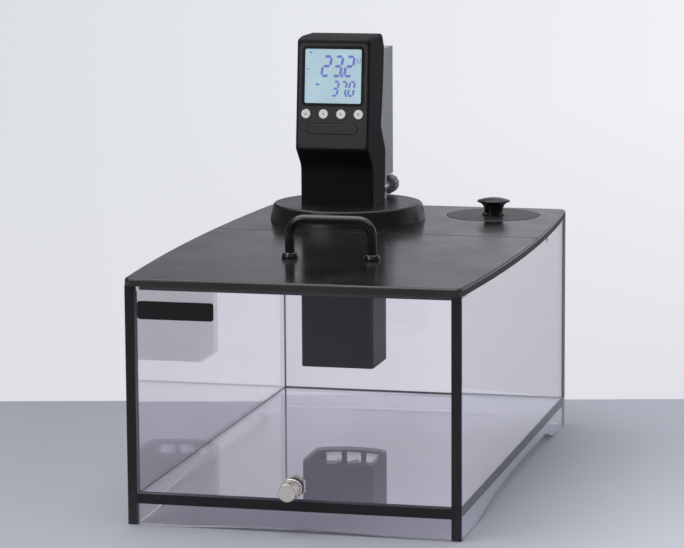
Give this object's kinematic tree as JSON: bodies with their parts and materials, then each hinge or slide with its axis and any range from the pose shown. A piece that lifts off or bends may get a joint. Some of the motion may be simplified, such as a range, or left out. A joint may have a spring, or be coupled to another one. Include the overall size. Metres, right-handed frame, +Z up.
{
  "type": "laboratory water bath",
  "caption": "Smoked clear laboratory water bath with a lift-off front lid, a fill port with a knobbed cover and an immersion circulator with display and keys.",
  "frame": {"origin": "centre of the bounding box at the bench surface", "axes": "+Z up, the front with the name plate and drain plug faces -Y, +X to the right seen from the front"},
  "size_m": [0.359, 0.5966, 0.4499],
  "materials": {
    "smoked_sheet": "clear cast sheet with a smoked violet-grey tint, polished edges",
    "lid_black": "satin black sheet",
    "shell_black": "moulded satin black",
    "gloss_black": "gloss black",
    "plate_black": "gloss black, bare",
    "housing_grey": "satin silver grey paint",
    "steel": "brushed stainless",
    "nickel": "nickel-plated, satin",
    "key_silver": "satin silver",
    "rubber": "black rubber",
    "window": "clear",
    "display": "pale blue liquid crystal display",
    "board": "green circuit board",
    "pump_plastic": "moulded grey plastic",
    "contact": "plated brass"
  },
  "bodies": {
    "tank": {"left_side_panel": "smoked_sheet", "right_side_panel": "smoked_sheet", "front_panel": "smoked_sheet", "rear_panel": "smoked_sheet", "bottom_panel": "smoked_sheet", "front_apron": "smoked_sheet", "rear_apron": "smoked_sheet", "name_plate": "plate_black", "drain_bushing": "nickel", "drain_gaskets": "rubber", "drain_nut": "nickel", "bridge_plate": "lid_black", "bridge_screws": "steel"},
    "lid": {"front_lid": "lid_black", "handle_bar": "gloss_black", "handle_collars": "gloss_black", "handle_screws": "steel"},
    "fill_cover": {"port_cover": "lid_black", "cover_knob": "gloss_black", "knob_screw": "steel"},
    "drain": {"drain_plug": "nickel", "plug_seal": "rubber"},
    "circulator": {"mount_flange": "shell_black", "pump_column": "shell_black", "shaft_bearing": "steel", "motor": "steel", "heater_element": "steel", "temperature_probe": "steel", "level_stem": "steel", "head_shell": "shell_black", "rear_housing": "housing_grey", "bezel_panel": "shell_black", "display_window": "window", "display_module": "display", "control_board": "board", "key_switches": "gloss_black", "power_board": "board", "inlet_socket": "gloss_black", "inlet_pins": "contact", "switch_frame": "gloss_black", "rear_outlet": "housing_grey"},
    "pump_rotor": {"pump_shaft": "steel", "impeller": "pump_plastic"},
    "float": {"level_float": "pump_plastic"},
    "rocker": {"rocker_switch": "gloss_black"},
    "cap": {"outlet_cap": "housing_grey"},
    "pill": {"pill_button": "shell_black"},
    "button_1": {"round_button_1": "key_silver"},
    "button_2": {"round_button_2": "key_silver"},
    "button_3": {"round_button_3": "key_silver"},
    "button_4": {"round_button_4": "key_silver"}
  },
  "joints": [
    {"name": "lid_lift", "type": "slide", "parent": "tank", "child": "lid", "axis": [0, 0, 1], "range_m": [0, 0.3]},
    {"name": "cover_lift", "type": "slide", "parent": "tank", "child": "fill_cover", "axis": [0, 0, 1], "range_m": [0, 0.08]},
    {"name": "drain_plug_turn", "type": "hinge", "parent": "tank", "child": "drain", "pos_m": [0, -0.2769, 0.044], "axis": [0, -1, 0], "range_deg": [0, 1080]},
    {"name": "circulator_lift", "type": "slide", "parent": "tank", "child": "circulator", "axis": [0, 0, 1], "range_m": [0, 0.17]},
    {"name": "pump_spin", "type": "hinge", "parent": "circulator", "child": "pump_rotor", "pos_m": [-0.0597, 0.1726, 0.0842], "axis": [0, 0, 1], "continuous": true},
    {"name": "float_rise", "type": "slide", "parent": "circulator", "child": "float", "axis": [0, 0, 1], "range_m": [0, 0.014]},
    {"name": "rocker_tilt", "type": "hinge", "parent": "circulator", "child": "rocker", "pos_m": [-0.0597, 0.2486, 0.3482], "axis": [0, 0, 1], "range_deg": [-18, 0]},
    {"name": "outlet_cap_turn", "type": "hinge", "parent": "circulator", "child": "cap", "pos_m": [-0.0254, 0.2371, 0.2762], "axis": [0, 1, 0], "range_deg": [0, 720]},
    {"name": "pill_press", "type": "slide", "parent": "circulator", "child": "pill", "axis": [0, 0.9945, -0.1045], "range_m": [0, 0.0008], "stiffness_N_per_m": 600, "springref_m": -0.0006},
    {"name": "button_1_press", "type": "slide", "parent": "circulator", "child": "button_1", "axis": [0, 0.9945, -0.1045], "range_m": [0, 0.0008], "stiffness_N_per_m": 400, "springref_m": -0.0006},
    {"name": "button_2_press", "type": "slide", "parent": "circulator", "child": "button_2", "axis": [0, 0.9945, -0.1045], "range_m": [0, 0.0008], "stiffness_N_per_m": 400, "springref_m": -0.0006},
    {"name": "button_3_press", "type": "slide", "parent": "circulator", "child": "button_3", "axis": [0, 0.9945, -0.1045], "range_m": [0, 0.0008], "stiffness_N_per_m": 400, "springref_m": -0.0006},
    {"name": "button_4_press", "type": "slide", "parent": "circulator", "child": "button_4", "axis": [0, 0.9945, -0.1045], "range_m": [0, 0.0008], "stiffness_N_per_m": 400, "springref_m": -0.0006}
  ]
}
